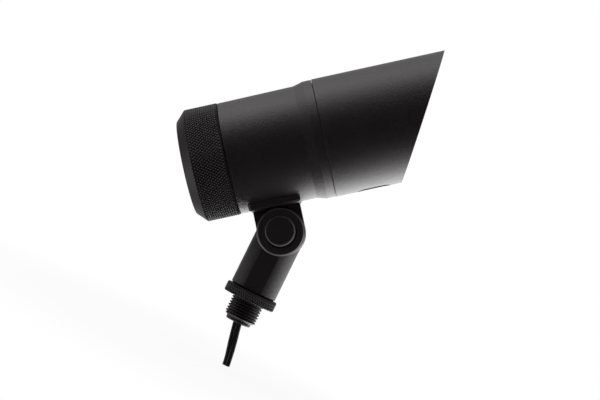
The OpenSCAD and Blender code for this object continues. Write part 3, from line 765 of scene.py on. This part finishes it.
# How bright the studio is, from straight in front of the object (0) to straight behind it (1)
ABOVE_LEVELS = ((0, 0.07), (0.12, 0.07), (0.2, 0.13), (0.27, 0.52), (0.34, 1.85), (0.42, 3.35),
                (0.5, 3.4), (0.58, 2.5), (0.7, 1.25), (0.87, 0.55), (1, 0.7))
BELOW_LEVELS = ((0, 0.07), (0.1, 0.08), (0.2, 0.11), (0.3, 0.06), (0.4, 0.05), (0.5, 0.06),
                (0.6, 0.8), (0.7, 5), (0.85, 6), (1, 3.5))
LEFT_LEVELS = ((0, 0.07), (0.3, 0.08), (0.5, 0.2), (0.65, 0.2), (0.8, 0.28), (0.9, 0.45), (1, 0.8))
RIGHT_LEVELS = ((0, 0.07), (0.1, 0.07), (0.2, 0.12), (0.44, 0.07), (0.7, 0.07), (0.85, 0.2), (1, 0.7))
STRIP_LEVELS = ((0, 0), (0.32, 0), (0.43, 2.7), (0.6, 2.7), (0.7, 0), (1, 0))

# Where the patches of light lie round the line of sight, and how narrow they are
ABOVE, ABOVE_FOCUS = picture_way(104), 5
BELOW, BELOW_FOCUS = picture_way(285), 4
STRIP, STRIP_FOCUS = picture_way(205), 9

# Between them the left levels give way to the right ones, from the first of these to the second
RIGHT, RIGHT_FADE = picture_way(0), (-0.6, 0.9)


def make_floor():
    """A pale floor that fades to white away from the object and keeps its shadow."""
    deselect()
    bpy.ops.mesh.primitive_grid_add(x_subdivisions=4, y_subdivisions=4, size=FLOOR_SIZE,
                                    location=(0, 0, FLOOR_Z))
    floor = bpy.context.object
    floor.name = "floor"
    skin = Finish("pale_floor", Roughness=0.9)
    skin.set("Base Color", skin.noise(3, 2).tint((0.8, 0.8, 0.8), (0.83, 0.83, 0.83)))
    away = skin.flow.node("VectorMath", {"operation": "LENGTH"}, {0: skin.place()}, out="Value")
    fade = away.between(FLOOR_SHOWN, 2 * FLOOR_SHOWN) * (1 - FLOOR_WHITE) + FLOOR_WHITE
    seen = skin.flow.node("LightPath", out="Is Camera Ray")
    white = skin.flow.node("Emission", None, {"Color": (1, 1, 1, 1), "Strength": 1.0})
    skin.mix_over(white, fade * seen)
    floor.data.materials.append(skin.material)
    floor.visible_glossy = False


LAMP_AT = (115, 8, -165)      # millimetres forward of the shroud seam, across, and up
LAMP_SIZE = (200, 170)        # millimetres along the head axis and across
LAMP_LEVEL = 1.83             # how bright its face is, where 1 is the white of the background


def make_lamp():
    """A soft panel below the shroud, which faces up to the head."""
    forward, aside, up = (value * MM for value in LAMP_AT)
    data = bpy.data.lights.new("soft_panel", "AREA")
    data.shape = "RECTANGLE"
    data.size, data.size_y = (value * MM for value in LAMP_SIZE)
    data.energy = LAMP_LEVEL * math.pi * data.size * data.size_y
    lamp = bpy.data.objects.new("soft_panel", data)
    bpy.context.scene.collection.objects.link(lamp)
    turn = Matrix((head_axis, across, head_axis.cross(across))).transposed().to_4x4()
    turn.translation = HEAD @ Vector((-up, aside, forward))
    lamp.matrix_world = turn @ Matrix.Rotation(math.pi, 4, "X")
    lamp.visible_camera = False


def make_world():
    """White for the camera. For the light: dim in front, bright above, below and behind, and with
    a strip on the left."""
    world = bpy.data.worlds.new("studio")
    bpy.context.scene.world = world
    world.use_nodes = True
    tree = world.node_tree
    flow = Flow(tree)
    background = tree.nodes["Background"]
    way = flow.node("TexCoord", out="Generated")

    def part_along(axis):
        return flow.node("VectorMath", {"operation": "DOT_PRODUCT"}, {0: way, 1: axis}, out="Value")

    depth = part_along((0, 1, 0))
    behind = depth * 0.5 + 0.5
    spread = (1.0001 - depth * depth) ** 0.5     # a little over 1, so that the root is never 0
    above = (part_along(ABOVE) / spread).between(0, 1) ** ABOVE_FOCUS
    below = (part_along(BELOW) / spread).between(0, 1) ** BELOW_FOCUS
    strip = (part_along(STRIP) / spread).between(0, 1) ** STRIP_FOCUS
    right = (part_along(RIGHT) / spread).between(*RIGHT_FADE)
    beside = behind.level(LEFT_LEVELS) * (1 - right) + behind.level(RIGHT_LEVELS) * right
    level = (beside * (1 - above - below) + behind.level(ABOVE_LEVELS) * above
             + behind.level(BELOW_LEVELS) * below + behind.level(STRIP_LEVELS) * strip)
    rays = flow.node("LightPath", out="Is Camera Ray")
    camera_sees = (rays + rays.other("Is Transmission Ray")).between(0, 1)
    tree.links.new((camera_sees + (1 - camera_sees) * level).socket, background.inputs["Strength"])
    background.inputs["Color"].default_value = (1, 1, 1, 1)


make_floor()
make_lamp()
make_world()

bpy.context.scene.view_settings.view_transform = "Standard"
